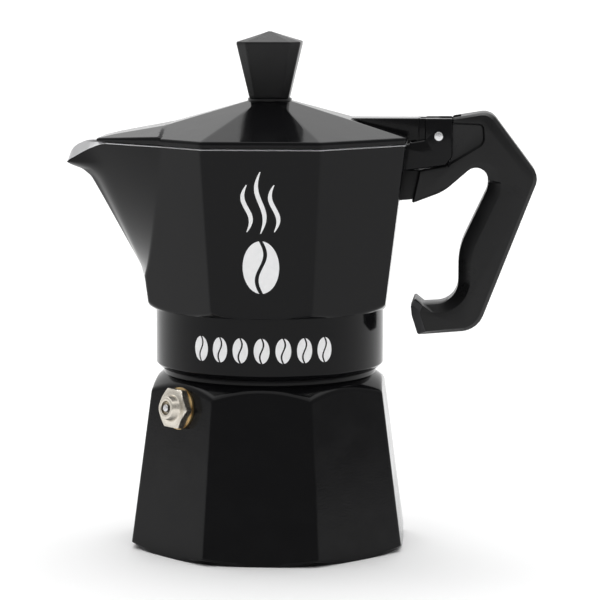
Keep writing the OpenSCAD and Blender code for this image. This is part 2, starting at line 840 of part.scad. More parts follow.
// Cast aluminium lid: eight slopes, a beak over the spout and a forked arm on the hinge pin
module lid() {
    arm = [
        [arm_start, -knuckle_r],
        [arm_start, arm_top],
        [0, arm_top],
        [0, -knuckle_r]
    ];
    hollow_apothem = lid_apothem - lid_rest_w;
    hollow_z = lid_apex_z - lid_slope * hollow_apothem - lid_t * 1.04;
    color("#17181a")
        difference() {
            union() {
                octagon_block(lid_apothem, 0, lid_z, lid_edge_z);
                intersection() {
                    octagon_block(lid_apothem, atan(1 / lid_slope), lid_edge_z, knob_z);
                    translate([0, 0, lid_edge_z])
                        cylinder(r = rim_flats, h = knob_z - lid_edge_z);
                }
                translate([0, 0, hub_under_z])
                    cylinder(r = hub_r, h = knob_z - hub_under_z);
                beak(0);
                difference() {
                    union() {
                        side_plate(arm, 2 * arm_half_w);
                        translate([pin_x, arm_half_w, pin_z])
                            rotate([90, 0, 0])
                                cylinder(r = knuckle_r, h = 2 * arm_half_w);
                    }
                    // The arm's underside over the rim and the gap behind it
                    translate([0, -far / 2, 0])
                        cube([rim_apothem + 1.6, far, lid_z]);
                    translate([0, -far / 2, 0])
                        cube([pin_x - arm_heel, far, pin_z - 2.2]);
                }
            }
            // Hollow underside, but for the hub
            difference() {
                union() {
                    octagon_block(hollow_apothem, 0, lid_z - cut, hollow_z);
                    octagon_block(hollow_apothem, atan(1 / lid_slope), hollow_z, lid_apex_z);
                    beak(lid_t);
                }
                translate([0, 0, hub_under_z])
                    cylinder(r = hub_under_r, h = far);
            }
            translate([0, 0, lid_z])
                cylinder(r = screw_r + 0.2, h = far);
            // The fork's slot for the handle's tongue, and the pin's bore
            translate([pin_x + fork_slot_x, -tongue_half_w - fork_gap, 0])
                cube([far, 2 * (tongue_half_w + fork_gap), far]);
            translate([pin_x, far / 2, pin_z])
                rotate([90, 0, 0])
                    cylinder(r = pin_r + running_gap, h = far);
        }
}

// One level ring of the knob: a square of width w at height z with its corners cut off
function knob_ring(w, z) =
    let (h = w / 2, f = knob_corner * w / 2)
    [[h, -f, z], [h, f, z], [f, h, z], [-f, h, z], [-h, f, z], [-h, -f, z], [-f, -h, z], [f, -h, z]];

// Black nylon knob: it flares upwards and ends in a low point
module knob() {
    n = 8;
    rings = [
        knob_ring(knob_foot_w, knob_z),
        knob_ring(knob_top_w, knob_flare_z),
        knob_ring(knob_top_w, knob_flare_z + knob_band),
        knob_ring(knob_point_w, knob_z + knob_h)
    ];
    skin = [for (i = [0 : len(rings) - 2])
        for (j = [0 : n - 1])
            let (k = (j + 1) % n)
            [i * n + j, i * n + n + j, i * n + n + k, i * n + k]];
    caps = [[for (j = [0 : n - 1]) j],
        [for (j = [n - 1 : -1 : 0]) (len(rings) - 1) * n + j]];
    color("#1c1c1e")
        difference() {
            polyhedron([for (r = rings) each r], concat(skin, caps), convexity = 4);
            translate([0, 0, knob_z - cut])
                cylinder(r = insert_r + press_gap, h = insert_in + insert_l + cut);
        }
}

// Brass insert moulded into the knob's foot
module knob_insert() {
    color("#b08d57")
        translate([0, 0, knob_z + insert_in])
            difference() {
                cylinder(r = insert_r, h = insert_l);
                translate([0, 0, -cut])
                    cylinder(r = screw_r + press_gap, h = insert_l - 0.5 + cut);
            }
}

// Screw that holds the knob from inside the lid
module knob_screw() {
    head_z = hub_under_z - knob_washer_t - screw_head_h;
    color("#c8ccd0")
        difference() {
            union() {
                translate([0, 0, head_z])
                    cylinder(r = screw_head_r, h = screw_head_h);
                translate([0, 0, head_z])
                    cylinder(r = screw_r, h = screw_head_h + screw_l);
            }
            translate([-far / 2, -0.5, head_z - cut])
                cube([far, 1, cut + 1]);
        }
}

// Washer between the screw's head and the lid
module knob_washer() {
    color("#c8ccd0")
        translate([0, 0, hub_under_z - knob_washer_t])
            difference() {
                cylinder(r = knob_washer_r, h = knob_washer_t);
                translate([0, 0, -cut])
                    cylinder(r = screw_r + 0.15, h = knob_washer_t + 2 * cut);
            }
}

boiler();
valve_washer();
valve_body();
valve_cap();
valve_poppet();
valve_spring();
funnel();
funnel_plate();
gasket();
filter_plate();
collector();
column();
column_cap();
handle();
hinge_pin();
lid();
knob();
knob_insert();
knob_screw();
knob_washer();
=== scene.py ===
"""Stovetop moka pot: the visible pieces, made in the order in which the pot is put together."""

import bmesh
import bpy
import numpy as np
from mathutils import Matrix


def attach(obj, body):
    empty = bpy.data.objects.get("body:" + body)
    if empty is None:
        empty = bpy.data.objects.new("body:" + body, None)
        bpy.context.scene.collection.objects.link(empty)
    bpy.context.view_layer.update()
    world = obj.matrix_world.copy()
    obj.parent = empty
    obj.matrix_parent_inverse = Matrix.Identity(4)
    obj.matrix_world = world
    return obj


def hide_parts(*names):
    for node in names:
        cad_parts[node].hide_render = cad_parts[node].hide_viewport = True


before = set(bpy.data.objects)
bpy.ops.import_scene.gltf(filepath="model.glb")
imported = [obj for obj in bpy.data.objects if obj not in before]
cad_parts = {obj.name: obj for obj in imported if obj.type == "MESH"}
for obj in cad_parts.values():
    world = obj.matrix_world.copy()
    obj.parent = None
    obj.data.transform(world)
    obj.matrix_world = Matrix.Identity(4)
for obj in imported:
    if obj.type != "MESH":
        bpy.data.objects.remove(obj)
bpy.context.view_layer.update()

# --- Studio -------------------------------------------------------------------------------
# A pale floor under an even white sky. The sky is dimmer on the side that the camera stands
# on, as in a studio with a dark front wall, and brightest high up.

scene = bpy.context.scene
scene.view_settings.view_transform = "Standard"

lens = bpy.data.cameras.new("camera")
lens.lens, lens.sensor_width = 160.04, 36
lens.shift_x = 0.05
lens.clip_start, lens.clip_end = 0.05, 150
camera = bpy.data.objects.new("camera", lens)
camera.location = (0.0592, -0.846, 0.1819)
camera.rotation_euler = (np.radians(83), 0, np.radians(4))
scene.collection.objects.link(camera)
scene.camera = camera


def node(tree, kind, inputs=None, **settings):
    """Adds a shader node: settings go on the node, inputs on its sockets, as values or links."""
    made = tree.nodes.new(kind)
    for name, value in settings.items():
        setattr(made, name, value)
    for name, value in (inputs or {}).items():
        if isinstance(value, bpy.types.NodeSocket):
            tree.links.new(value, made.inputs[name])
        else:
            made.inputs[name].default_value = value
    return made


def map_range(tree, value, low, high, out_low, out_high):
    """Carries value from low..high to out_low..out_high, smoothly at both ends."""
    made = node(tree, "ShaderNodeMapRange", {0: value, 1: low, 2: high, 3: out_low, 4: out_high},
                interpolation_type="SMOOTHSTEP")
    return made.outputs[0]


def math(tree, operation, a, b=0.0):
    """The result of a math node on a and b."""
    return node(tree, "ShaderNodeMath", {0: a, 1: b}, operation=operation).outputs[0]


sky = bpy.data.worlds.new("sky")
scene.world = sky
sky.use_nodes = True
sky.node_tree.nodes.clear()
toward = node(sky.node_tree, "ShaderNodeTexCoord").outputs["Generated"]
toward = node(sky.node_tree, "ShaderNodeSeparateXYZ", {0: toward})
back = map_range(sky.node_tree, toward.outputs["Y"], -0.25, 0.75, 0.5, 1.2)
high = map_range(sky.node_tree, toward.outputs["Z"], 0.6, 0.85, 1.0, 3.6)
light = node(sky.node_tree, "ShaderNodeBackground",
             {"Strength": math(sky.node_tree, "MULTIPLY", back, high)})
node(sky.node_tree, "ShaderNodeOutputWorld", {"Surface": light.outputs[0]})

FAR = 60
floor_mesh = bpy.data.meshes.new("floor")
floor_mesh.from_pydata([(-FAR, -FAR, 0), (FAR, -FAR, 0), (FAR, FAR, 0), (-FAR, FAR, 0)], [],
                       [(0, 1, 2, 3)])
floor = bpy.data.objects.new("floor", floor_mesh)
scene.collection.objects.link(floor)
pale = bpy.data.materials.new("pale_floor")
pale.use_nodes = True
paint = pale.node_tree.nodes["Principled BSDF"]
paint.inputs["Base Color"].default_value = (0.96, 0.96, 0.96, 1)
paint.inputs["Roughness"].default_value = 0.9
paint.inputs["Specular IOR Level"].default_value = 0.1
floor_mesh.materials.append(pale)

# --- Boiler -------------------------------------------------------------------------------
# One gravity casting in aluminium: eight facets that lean in, a shoulder turned on the lathe
# after casting, and a neck with a coarse screw thread. The outside is stove enamelled in
# gloss black after the neck is masked; the neck and the inside stay bare.


def finish(name):
    """An empty material, its tree, its shader and the object coordinates in millimetres."""
    material = bpy.data.materials.new(name)
    material.use_nodes = True
    tree = material.node_tree
    place = node(tree, "ShaderNodeTexCoord").outputs["Object"]
    place = node(tree, "ShaderNodeVectorMath", {0: place, "Scale": 1000.0}, operation="SCALE")
    return material, tree, tree.nodes["Principled BSDF"], place.outputs[0]


def noise(tree, place, scale, detail=3.0, rough=0.5):
    """Noise from 0 to 1 whose features are about 1 / scale mm wide."""
    made = node(tree, "ShaderNodeTexNoise",
                {"Vector": place, "Scale": scale, "Detail": detail, "Roughness": rough})
    return made.outputs["Fac"]


def bump(tree, shader, height, distance):
    """Height is in the 0..1 range and distance is what 1 stands for, in metres."""
    made = node(tree, "ShaderNodeBump", {"Height": height, "Distance": distance, "Strength": 1.0})
    tree.links.new(made.outputs[0], shader.inputs["Normal"])


def mix_colour(tree, share, low, high):
    """The colour low where share is 0 and high where it is 1."""
    made = node(tree, "ShaderNodeMix", {0: share, 6: low, 7: high}, data_type="RGBA")
    return made.outputs[2]


def enamel_finish():
    """Gloss black enamel: a faint orange peel over the casting's slow waves, and dust specks."""
    material, tree, shader, place = finish("black_enamel")
    waves = noise(tree, place, 0.05, 2.0)
    peel = noise(tree, place, 1.6, 2.0)
    specks = map_range(tree, noise(tree, place, 3.2, 4.0, 0.7), 0.72, 0.8, 0.0, 1.0)
    height = math(tree, "ADD", math(tree, "MULTIPLY", peel, 0.12), waves)
    bump(tree, shader, height, 0.00006)
    colour = mix_colour(tree, specks, (0.0035, 0.0035, 0.004, 1), (0.012, 0.012, 0.013, 1))
    tree.links.new(colour, shader.inputs["Base Color"])
    rough = map_range(tree, noise(tree, place, 0.11, 4.0, 0.6), 0.3, 0.7, 0.09, 0.15)
    rough = math(tree, "ADD", rough, math(tree, "MULTIPLY", specks, 0.1))
    tree.links.new(rough, shader.inputs["Roughness"])
    shader.inputs["IOR"].default_value = 1.24
    return material


def aluminium_finish():
    """Bare turned and pressed aluminium: fine rings round the pot's axis and a dull bloom."""
    material, tree, shader, place = finish("aluminium")
    apart = node(tree, "ShaderNodeSeparateXYZ", {0: place})
    across = math(tree, "POWER", apart.outputs["X"], 2.0)
    across = math(tree, "ADD", across, math(tree, "POWER", apart.outputs["Y"], 2.0))
    across = math(tree, "SQRT", across)
    lay = node(tree, "ShaderNodeCombineXYZ", {"X": across, "Y": apart.outputs["Z"]})
    rings = noise(tree, lay.outputs[0], 6.0, 4.0, 0.7)
    bloom = noise(tree, place, 0.12, 4.0, 0.6)
    bump(tree, shader, rings, 0.00002)
    colour = mix_colour(tree, bloom, (0.7, 0.7, 0.71, 1), (0.84, 0.84, 0.85, 1))
    tree.links.new(colour, shader.inputs["Base Color"])
    shader.inputs["Metallic"].default_value = 1.0
    rough = map_range(tree, rings, 0.2, 0.8, 0.28, 0.46)
    tree.links.new(rough, shader.inputs["Roughness"])
    return material


enamel = enamel_finish()
aluminium = aluminium_finish()


def piece(name, mesh, body, stands_for=(), materials=()):
    """Puts a finished mesh in the scene as a piece of the pot, riding on a body."""
    made = bpy.data.objects.new(name, mesh)
    scene.collection.objects.link(made)
    for material in materials:
        mesh.materials.append(material)
    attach(made, body)
    if stands_for:
        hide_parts(*stands_for)
    return made


MM = 0.001


def skin(name, rows, closed=False, smooth_angle=32, material_of_row=None):
    """A mesh over a grid of points in mm. rows[i, j] is joined to its neighbours in the row,
    which closes on itself, and to the next row; the end rows get a flat face unless closed
    joins the last row to the first. Rows that run up with their points anticlockwise seen
    from above face outwards. material_of_row gives the material index of the faces over it."""
    count, around = rows.shape[:2]
    index = np.arange(count * around).reshape(count, around)
    low, high = (index, np.roll(index, -1, 0)) if closed else (index[:-1], index[1:])
    quads = np.stack([low, np.roll(low, -1, 1), np.roll(high, -1, 1), high], -1).reshape(-1, 4)
    corners = quads.ravel()
    starts = np.arange(len(quads)) * 4
    flat = np.zeros(len(quads), bool)
    if not closed:
        corners = np.concatenate([corners, index[0, ::-1], index[-1]])
        starts = np.concatenate([starts, [4 * len(quads), 4 * len(quads) + around]])
        flat = np.concatenate([flat, [True, True]])
    mesh = bpy.data.meshes.new(name)
    mesh.vertices.add(count * around)
    mesh.vertices.foreach_set("co", (rows * MM).astype(np.float32).ravel())
    mesh.loops.add(len(corners))
    mesh.loops.foreach_set("vertex_index", corners.astype(np.int32))
    mesh.polygons.add(len(starts))
    mesh.polygons.foreach_set("loop_start", starts.astype(np.int32))
    mesh.polygons.foreach_set("use_smooth", ~flat)
    if material_of_row is not None:
        of_face = np.repeat(material_of_row[: len(low)], around)
        ends = [] if closed else [material_of_row[0], material_of_row[-1]]
        mesh.polygons.foreach_set("material_index", np.concatenate([of_face, ends]).astype(np.int32))
    mesh.update(calc_edges=True)
    mesh.set_sharp_from_angle(angle=np.radians(smooth_angle))
    return mesh


def filleted(corners, steps=6, closed=False):
    """A path [[a, b], ...] through corners [a, b, radius]: each corner with a radius becomes an
    arc of steps + 1 points that touches both of its sides; the others stay as single points."""
    corners = np.asarray(corners, float)
    path = []
    for i, (a, b, radius) in enumerate(corners):
        here = np.array([a, b])
        if radius == 0 or (not closed and i in (0, len(corners) - 1)):
            path.append(here[None])
            continue
        back = corners[i - 1, :2] - here
        on = corners[(i + 1) % len(corners), :2] - here
        back, on = back / np.linalg.norm(back), on / np.linalg.norm(on)
        half = np.arccos(np.clip(back @ on, -1, 1)) / 2
        middle = (back + on) / np.linalg.norm(back + on)
        centre = here + middle * radius / np.sin(half)
        start = here + back * radius / np.tan(half) - centre
        end = here + on * radius / np.tan(half) - centre
        turn = np.arctan2(start[0] * end[1] - start[1] * end[0], start @ end)
        angle = np.linspace(0, turn, steps + 1)
        path.append(centre + np.stack([start[0] * np.cos(angle) - start[1] * np.sin(angle),
                                       start[0] * np.sin(angle) + start[1] * np.cos(angle)], 1))
    return np.concatenate(path)


def thinned(path, longest):
    """The path with points added so that no step is longer than longest."""
    counts = np.maximum(1, np.ceil(np.linalg.norm(np.diff(path, axis=0), axis=1) / longest))
    share = np.concatenate([i + np.arange(n) / n for i, n in enumerate(counts.astype(int))])
    share = np.append(share, len(path) - 1)
    along = np.arange(len(path))
    return np.stack([np.interp(share, along, path[:, 0]), np.interp(share, along, path[:, 1])], 1)


def facet_angles(facets, count):
    """Angles over the numbered facets of an octagon whose facets face X and Y: count to a facet,
    closer together towards its edges."""
    u = np.linspace(-1, 1, count, endpoint=False)
    within = 22.5 * (1.5 * u - 0.5 * u ** 3)
    return np.radians((45 * facets[:, None] + within).ravel())


def octagon(angle, apothem):
    """Distance from the axis to the octagon along angle: apothem over the cosine of the angle
    from the middle of the nearest facet."""
    return apothem / np.cos((angle + np.pi / 8) % (np.pi / 4) - np.pi / 8)


def eased(ring, angle, degrees=0.5):
    """A ring function with its edges rounded: the mean of its values just before and after."""
    spread = np.radians(degrees)
    shares = ((0, 0.3), (-0.6, 0.2), (0.6, 0.2), (-1.2, 0.15), (1.2, 0.15))
    return sum(share * ring(angle + shift * spread) for shift, share in shares)


def soft_min(a, b, width):
    """The lesser of a and b, with the crossing rounded off over width."""
    overlap = np.maximum(width - np.abs(a - b), 0) / width
    return np.minimum(a, b) - overlap ** 2 * width / 4


def placed(radius, angle, z):
    """Rows of points from radii, angles and heights that broadcast together."""
    radius, angle, z = np.broadcast_arrays(radius, angle, z)
    return np.stack([radius * np.cos(angle), radius * np.sin(angle), z], -1)


BASE_FLATS, BASE_ROUND, BASE_EDGE, BASE_FLARE = 86.2, 88.6, 1, 2.2
RIM_IN, RIM_STAND = 41.0, 0.5
BOILER_H, SHOULDER_Z = 70.5, 55.2
NECK_R, MOUTH_R, WAIST_R, WAIST_H = 33.3, 29.8, 33.9, 1.6
SHOULDER_APOTHEM = 35.95
FACET_LEAN = np.arctan((BASE_FLATS / 2 - SHOULDER_APOTHEM) / SHOULDER_Z)
SHOULDER_FALL = np.radians(37)
INSIDE_FLOOR, INSIDE_FOOT_R, INSIDE_TOP_R, INSIDE_TOP_Z = 3, 39.8, 34.2, 48.7
THREAD_LEAD, THREAD_RUNOUT, THREAD_DEPTH = 3.0, 1.2, 0.8


def thread(angle, z, low, high, depth):
    """Height of a rounded right-hand thread's ridge at angle and z: a flattened cosine of the
    phase along the helix, which fades out at low and high."""
    phase = 2 * np.pi * z / THREAD_LEAD - angle
    fade = np.clip((z - low) / THREAD_RUNOUT, 0, 1) * np.clip((high - z) / THREAD_RUNOUT, 0, 1)
    return depth * (0.5 + 0.5 * np.tanh(2.2 * np.cos(phase))) * fade


def boiler_side(angle, z):
    """The least of the leaning octagon, the rounded base edge that flares out above it, and the
    cone of the shoulder."""
    facets = eased(lambda a: octagon(a, BASE_FLATS / 2 - z * np.tan(FACET_LEAN)), angle)
    base = BASE_ROUND / 2 - BASE_EDGE + np.sqrt(
        np.clip(BASE_EDGE ** 2 - (BASE_EDGE - np.minimum(z, BASE_EDGE)) ** 2, 0, 1))
    base = base + np.clip(z - BASE_EDGE, 0, None) * BASE_FLARE
    shoulder = WAIST_R + (SHOULDER_Z - z) / np.tan(SHOULDER_FALL)
    return soft_min(soft_min(facets, base, 0.7), shoulder, 1.0)


angle = facet_angles(np.arange(8), 36)[None, :]
side_z = np.concatenate([np.linspace(0, 2.4, 13), np.linspace(3, 44, 28),
                         np.linspace(44.5, SHOULDER_Z - 0.3, 36)])[:, None]
under = np.array([[1.0, RIM_STAND], [12, RIM_STAND], [30, RIM_STAND], [RIM_IN, RIM_STAND],
                  [RIM_IN + 0.3, 0.0]])
neck_z = np.linspace(SHOULDER_Z + 1.9, BOILER_H - 0.5, 66)[:, None]
mouth = filleted([[NECK_R - 0.35, BOILER_H - 0.4, 0], [NECK_R - THREAD_DEPTH, BOILER_H, 0.3],
                  [MOUTH_R, BOILER_H, 0.5], [MOUTH_R, SHOULDER_Z - 0.5, 2],
                  [INSIDE_TOP_R, INSIDE_TOP_Z, 2], [INSIDE_FOOT_R, INSIDE_FLOOR, 5],
                  [1, INSIDE_FLOOR, 0]], 6)
waist = filleted([[WAIST_R, SHOULDER_Z, 0], [WAIST_R, SHOULDER_Z + WAIST_H, 0.3],
                  [NECK_R - 0.5, SHOULDER_Z + WAIST_H, 0]], 3)
neck = NECK_R - THREAD_DEPTH
neck = neck + thread(angle, neck_z, SHOULDER_Z + 2, BOILER_H - 0.6, THREAD_DEPTH)
rows = np.concatenate([
    placed(under[:, :1], angle, under[:, 1:]),
    placed(boiler_side(angle, side_z), angle, side_z),
    placed(waist[:, :1], angle, waist[:, 1:]),
    placed(neck, angle, neck_z),
    placed(mouth[:, :1], angle, mouth[:, 1:]),
])
bare_from = len(under) + len(side_z) + len(waist) - 2
bare = (np.arange(len(rows)) >= bare_from).astype(int)
piece("boiler_shell", skin("boiler_shell", rows, material_of_row=bare), "boiler",
      ["boiler"], [enamel, aluminium])

# --- Safety valve -------------------------------------------------------------------------
# Turned from brass bar and nickel plated: a hexagon for the spanner with its corners turned
# off, and a round nose whose hole shows the poppet's stem. It screws into the boiler's wall
# over a thin brass washer.


def metal_finish(name, low, high, rough_low, rough_high, grain):
    """Turned metal: the colour drifts from low to high, with fine tool marks of that grain."""
    material, tree, shader, place = finish(name)
    marks = noise(tree, place, grain, 5.0, 0.65)
    drift = noise(tree, place, 0.35, 3.0)
    bump(tree, shader, marks, 0.000015)
    tree.links.new(mix_colour(tree, drift, low, high), shader.inputs["Base Color"])
    tree.links.new(map_range(tree, marks, 0.3, 0.7, rough_low, rough_high),
                   shader.inputs["Roughness"])
    shader.inputs["Metallic"].default_value = 1.0
    return material


nickel = metal_finish("nickel_brass", (0.62, 0.57, 0.49, 1), (0.76, 0.72, 0.64, 1), 0.2, 0.36, 5)
brass = metal_finish("brass", (0.60, 0.42, 0.20, 1), (0.74, 0.56, 0.30, 1), 0.25, 0.4, 5)
steel = metal_finish("steel", (0.60, 0.60, 0.61, 1), (0.74, 0.74, 0.75, 1), 0.16, 0.3, 7)

VALVE_Z, VALVE_TURN = 46.6, np.radians(225)
HEX_HALF, HEX_LOW, HEX_HIGH = 6.0, 0.6, 3.6
NOSE_R, NOSE_TIP_R, NOSE_BORE, NOSE_DEPTH, VALVE_FRONT = 4.2, 3.4, 2.2, 3.8, 6.1
STEM_R, HEAD_R, STEM_FRONT = 1.15, 2.3, VALVE_FRONT + 0.1


def at_valve(rows):
    """Carries rows from the valve's own frame, +Z out of the wall, to the facet it sits on."""
    tilt = np.pi / 2 - FACET_LEAN
    turn = np.array([[np.cos(VALVE_TURN), -np.sin(VALVE_TURN), 0],
                     [np.sin(VALVE_TURN), np.cos(VALVE_TURN), 0], [0, 0, 1]])
    lean = np.array([[np.cos(tilt), 0, np.sin(tilt)], [0, 1, 0], [-np.sin(tilt), 0, np.cos(tilt)]])
    wall = np.array([BASE_FLATS / 2 - VALVE_Z * np.tan(FACET_LEAN), 0, VALVE_Z])
    return (rows @ lean.T + wall) @ turn.T


def hexagon(angle, u):
    """The lesser of a hexagon and of the cones that turn off its corners at both ends."""
    flats = HEX_HALF / np.cos((angle + np.pi / 6) % (np.pi / 3) - np.pi / 6)
    cone = HEX_HALF + 0.05 + np.minimum(u - HEX_LOW, HEX_HIGH - u) / np.tan(np.radians(30))
    return soft_min(flats, cone, 0.25)


turn = np.linspace(0, 2 * np.pi, 144, endpoint=False)[None, :]
hex_u = np.linspace(HEX_LOW, HEX_HIGH, 14)[:, None]
nose = filleted([[NOSE_R + 0.5, HEX_HIGH, 0], [NOSE_R, HEX_HIGH + 0.1, 0.2],
                 [NOSE_TIP_R, VALVE_FRONT, 0.5], [NOSE_BORE, VALVE_FRONT, 0.25],
                 [NOSE_BORE, NOSE_DEPTH, 0], [1.0, NOSE_DEPTH, 0]], 5)
rows = np.concatenate([
    placed(np.array([[1.0], [5.2]]), turn, HEX_LOW),
    placed(hexagon(turn, hex_u), turn, hex_u),
    placed(nose[:, :1], turn, nose[:, 1:]),
])
piece("valve_nut", skin("valve_nut", at_valve(rows), smooth_angle=28), "boiler",
      ["valve_body", "valve_cap"], [nickel])

stem = filleted([[0.2, -1.4, 0], [HEAD_R, -0.6, 0.3], [HEAD_R, 0.4, 0.3], [STEM_R, 0.5, 0],
                 [STEM_R, STEM_FRONT, 0.3], [0.2, STEM_FRONT, 0]], 5)
piece("valve_stem", skin("valve_stem", at_valve(placed(stem[:, :1], turn[:, ::3], stem[:, 1:]))),
      "poppet", ["valve_poppet"], [steel])


def refinish(material, *parts):
    """Gives CAD nodes that keep their own shape a finer material."""
    for part in parts:
        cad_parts[part].data.materials.clear()
        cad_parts[part].data.materials.append(material)


refinish(brass, "valve_washer")
refinish(steel, "valve_spring")

# --- Funnel -------------------------------------------------------------------------------
# Pressed from aluminium sheet: a basket for the coffee with a rolled flange that rests on the
# boiler's neck, a cone and a drawn stem that reaches down into the water. A perforated disc
# is pressed into its floor.


def lathe(name, profile, body, stands_for, material, count=128):
    """A piece turned round the pot's axis: the profile [radius, height, fillet] goes from the
    lower end outwards and up. A profile that comes back to its start is joined to itself."""
    closed = np.allclose(profile[0][:2], profile[-1][:2])
    path = filleted(profile[:-1] if closed else profile, 5, closed)
    around = np.linspace(0, 2 * np.pi, count, endpoint=False)[None, :]
    mesh = skin(name, placed(path[:, :1], around, path[:, 1:]), closed)
    return piece(name, mesh, body, stands_for, [material])


SHEET = 1.0
STEM_OUT, STEM_Z, CONE_Z = 5.3, 7, 41
BASKET_R, BASKET_Z, FLANGE_R = 29.3, 50, 32.3
FLANGE_TOP = BOILER_H + SHEET
lathe("coffee_funnel", [
    [STEM_OUT - SHEET, STEM_Z, 0.3], [STEM_OUT, STEM_Z, 0.3], [STEM_OUT, CONE_Z, 3],
    [BASKET_R, BASKET_Z, 2], [BASKET_R, BOILER_H, 0.4], [FLANGE_R, BOILER_H, 0.45],
    [FLANGE_R, FLANGE_TOP, 0.45], [BASKET_R - SHEET, FLANGE_TOP, 0.8],
    [BASKET_R - SHEET, BASKET_Z + SHEET, 1], [BASKET_R - 2 * SHEET, BASKET_Z + SHEET, 0.3],
    [STEM_OUT - SHEET, CONE_Z + SHEET, 3], [STEM_OUT - SHEET, STEM_Z, 0],
], "funnel", ["funnel"], aluminium)
refinish(aluminium, "funnel_plate")

# --- Seal ---------------------------------------------------------------------------------
# An off-white silicone ring, cut flat with soft edges, held up in the collector over the
# funnel's flange. It also holds the perforated filter disc.


def rubber_finish():
    """Matt off-white silicone with a slight bloom and moulding dust."""
    material, tree, shader, place = finish("white_rubber")
    grain = noise(tree, place, 2.4, 5.0, 0.7)
    bloom = noise(tree, place, 0.2, 3.0)
    colour = mix_colour(tree, bloom, (0.74, 0.71, 0.65, 1), (0.86, 0.84, 0.79, 1))
    tree.links.new(colour, shader.inputs["Base Color"])
    tree.links.new(map_range(tree, grain, 0.3, 0.7, 0.5, 0.68), shader.inputs["Roughness"])
    bump(tree, shader, grain, 0.00004)
    return material


rubber = rubber_finish()
SEAL_IN, SEAL_OUT, SEAL_TOP = 26.5, 32.5, FLANGE_TOP + 4
lathe("seal_ring", [[SEAL_IN, FLANGE_TOP, 0.6], [SEAL_OUT, FLANGE_TOP, 0.6],
                    [SEAL_OUT, SEAL_TOP, 0.6], [SEAL_IN, SEAL_TOP, 0.6], [SEAL_IN, FLANGE_TOP, 0]],
      "seal", ["gasket"], rubber)
refinish(aluminium, "filter_plate")

# --- Collector ----------------------------------------------------------------------------
# The upper casting: a turned skirt with the inner thread, eight facets that lean out, and a
# spout whose two flanks grow out of the facets beside it. Enamelled outside; the rim, the
# lip and the inside are bare metal.

SKIRT_R, SKIRT_Z, BODY_Z, RIM_Z = 36.3, 56.85, 76.25, 128.75
RIM_APOTHEM, FOOT_APOTHEM = 43.6, 37.1
FLOOR_Z, COFFEE_R = 80.5, 2.5
BODY_LEAN = np.arctan((RIM_APOTHEM - FOOT_APOTHEM) / (RIM_Z - BODY_Z))
WALL, BORE_R, SEAT_Z, DISC_Z, DOME_Z = 2.4, NECK_R + 0.3, SEAL_TOP, 76.5, 77.5
SPOUT_TIP, SPOUT_DROP, SPOUT_SIDE = 66.8, 6.8, 46
BEND_Z, BEND_SOFT, PROW_STAND = BODY_Z + 13.2, 2.4, 2.1
FLANK_REACH, FLANKS_END = 17, np.radians(60)
PROW_SPREAD = np.radians(5)


def body_apothem(z):
    """Distance from the axis to the middle of a facet at height z."""
    return RIM_APOTHEM - (RIM_Z - z) * np.tan(BODY_LEAN)


flank_edge = filleted([
    [FOOT_APOTHEM + PROW_STAND, BODY_Z, 0],
    [body_apothem(BEND_Z) + PROW_STAND, BEND_Z - BEND_SOFT, 12],
    [SPOUT_TIP, RIM_Z, 0],
], 10)
prow = filleted([
    [FOOT_APOTHEM + PROW_STAND, BODY_Z, 0],
    [body_apothem(BEND_Z) + PROW_STAND - 0.4, BEND_Z - BEND_SOFT, 12],
    [54.2, 111.6, 30],
    [57.6, 117.4, 6],
    [60.5, 119.7, 4],
    [SPOUT_TIP, RIM_Z - SPOUT_DROP, 0],
    [SPOUT_TIP, RIM_Z, 0],
], 10)


def off_prow(angle):
    """Angle to the spout's middle plane, on either side of it."""
    return np.abs(angle % (2 * np.pi) - np.pi)


def body_ring(angle, z, wall=0.0, lift=0.0):
    """Distance from the axis to the wall at angle and z. Within the three facets on the spout's
    side it is the line from the flanks' common edge to the point where the flank leaves the
    diagonal facet, drawn in or out to the prow near that edge; wall moves both inwards, and
    lift raises the edge and the prow."""
    from_prow = off_prow(angle)
    apothem = body_apothem(z)
    out = np.interp(z - lift, flank_edge[:, 1], flank_edge[:, 0])
    drawn = np.interp(z - lift, prow[:, 1], prow[:, 0]) - out
    risen = np.clip(z - BEND_Z + 2, 0, None) / (RIM_Z - BEND_Z + 2)
    along = FLANK_REACH * risen ** 0.8 * np.sin(np.pi / 4)
    end_in = apothem - along
    end_across = apothem * np.tan(np.pi / 8) + along
    slope = (out - end_in) / end_across
    shift = wall * np.sqrt(1 + slope ** 2)
    flank = (out - shift) / (np.cos(from_prow) + np.sin(from_prow) * slope)
    diagonal = (apothem - wall) / np.cos(np.pi / 4 - np.minimum(from_prow, np.pi / 2))
    narrow = out - shift < (apothem - wall) * np.sqrt(2)
    spout = np.where(narrow, np.minimum(flank, diagonal), np.maximum(flank, diagonal))
    spout = spout + drawn * np.exp(-(from_prow / PROW_SPREAD) ** 2)
    return np.where(from_prow < FLANKS_END, spout, octagon(angle, apothem - wall))


def body_side(angle, z, wall=0.0, lift=0.0):
    """body_ring with its edges rounded."""
    return eased(lambda a: body_ring(a, z, wall, lift), angle, 0.45)


# Over the spout the angles are closest together at the prow
plain = facet_angles(np.arange(-3, 4), 30)
plain = plain[np.abs(plain) < np.radians(180 - SPOUT_SIDE)]
u = np.linspace(-1, 1, 121)
over_spout = np.radians(180 + SPOUT_SIDE * np.sign(u) * np.abs(u) ** 1.35)
angle = np.concatenate([plain, over_spout])[None, :]

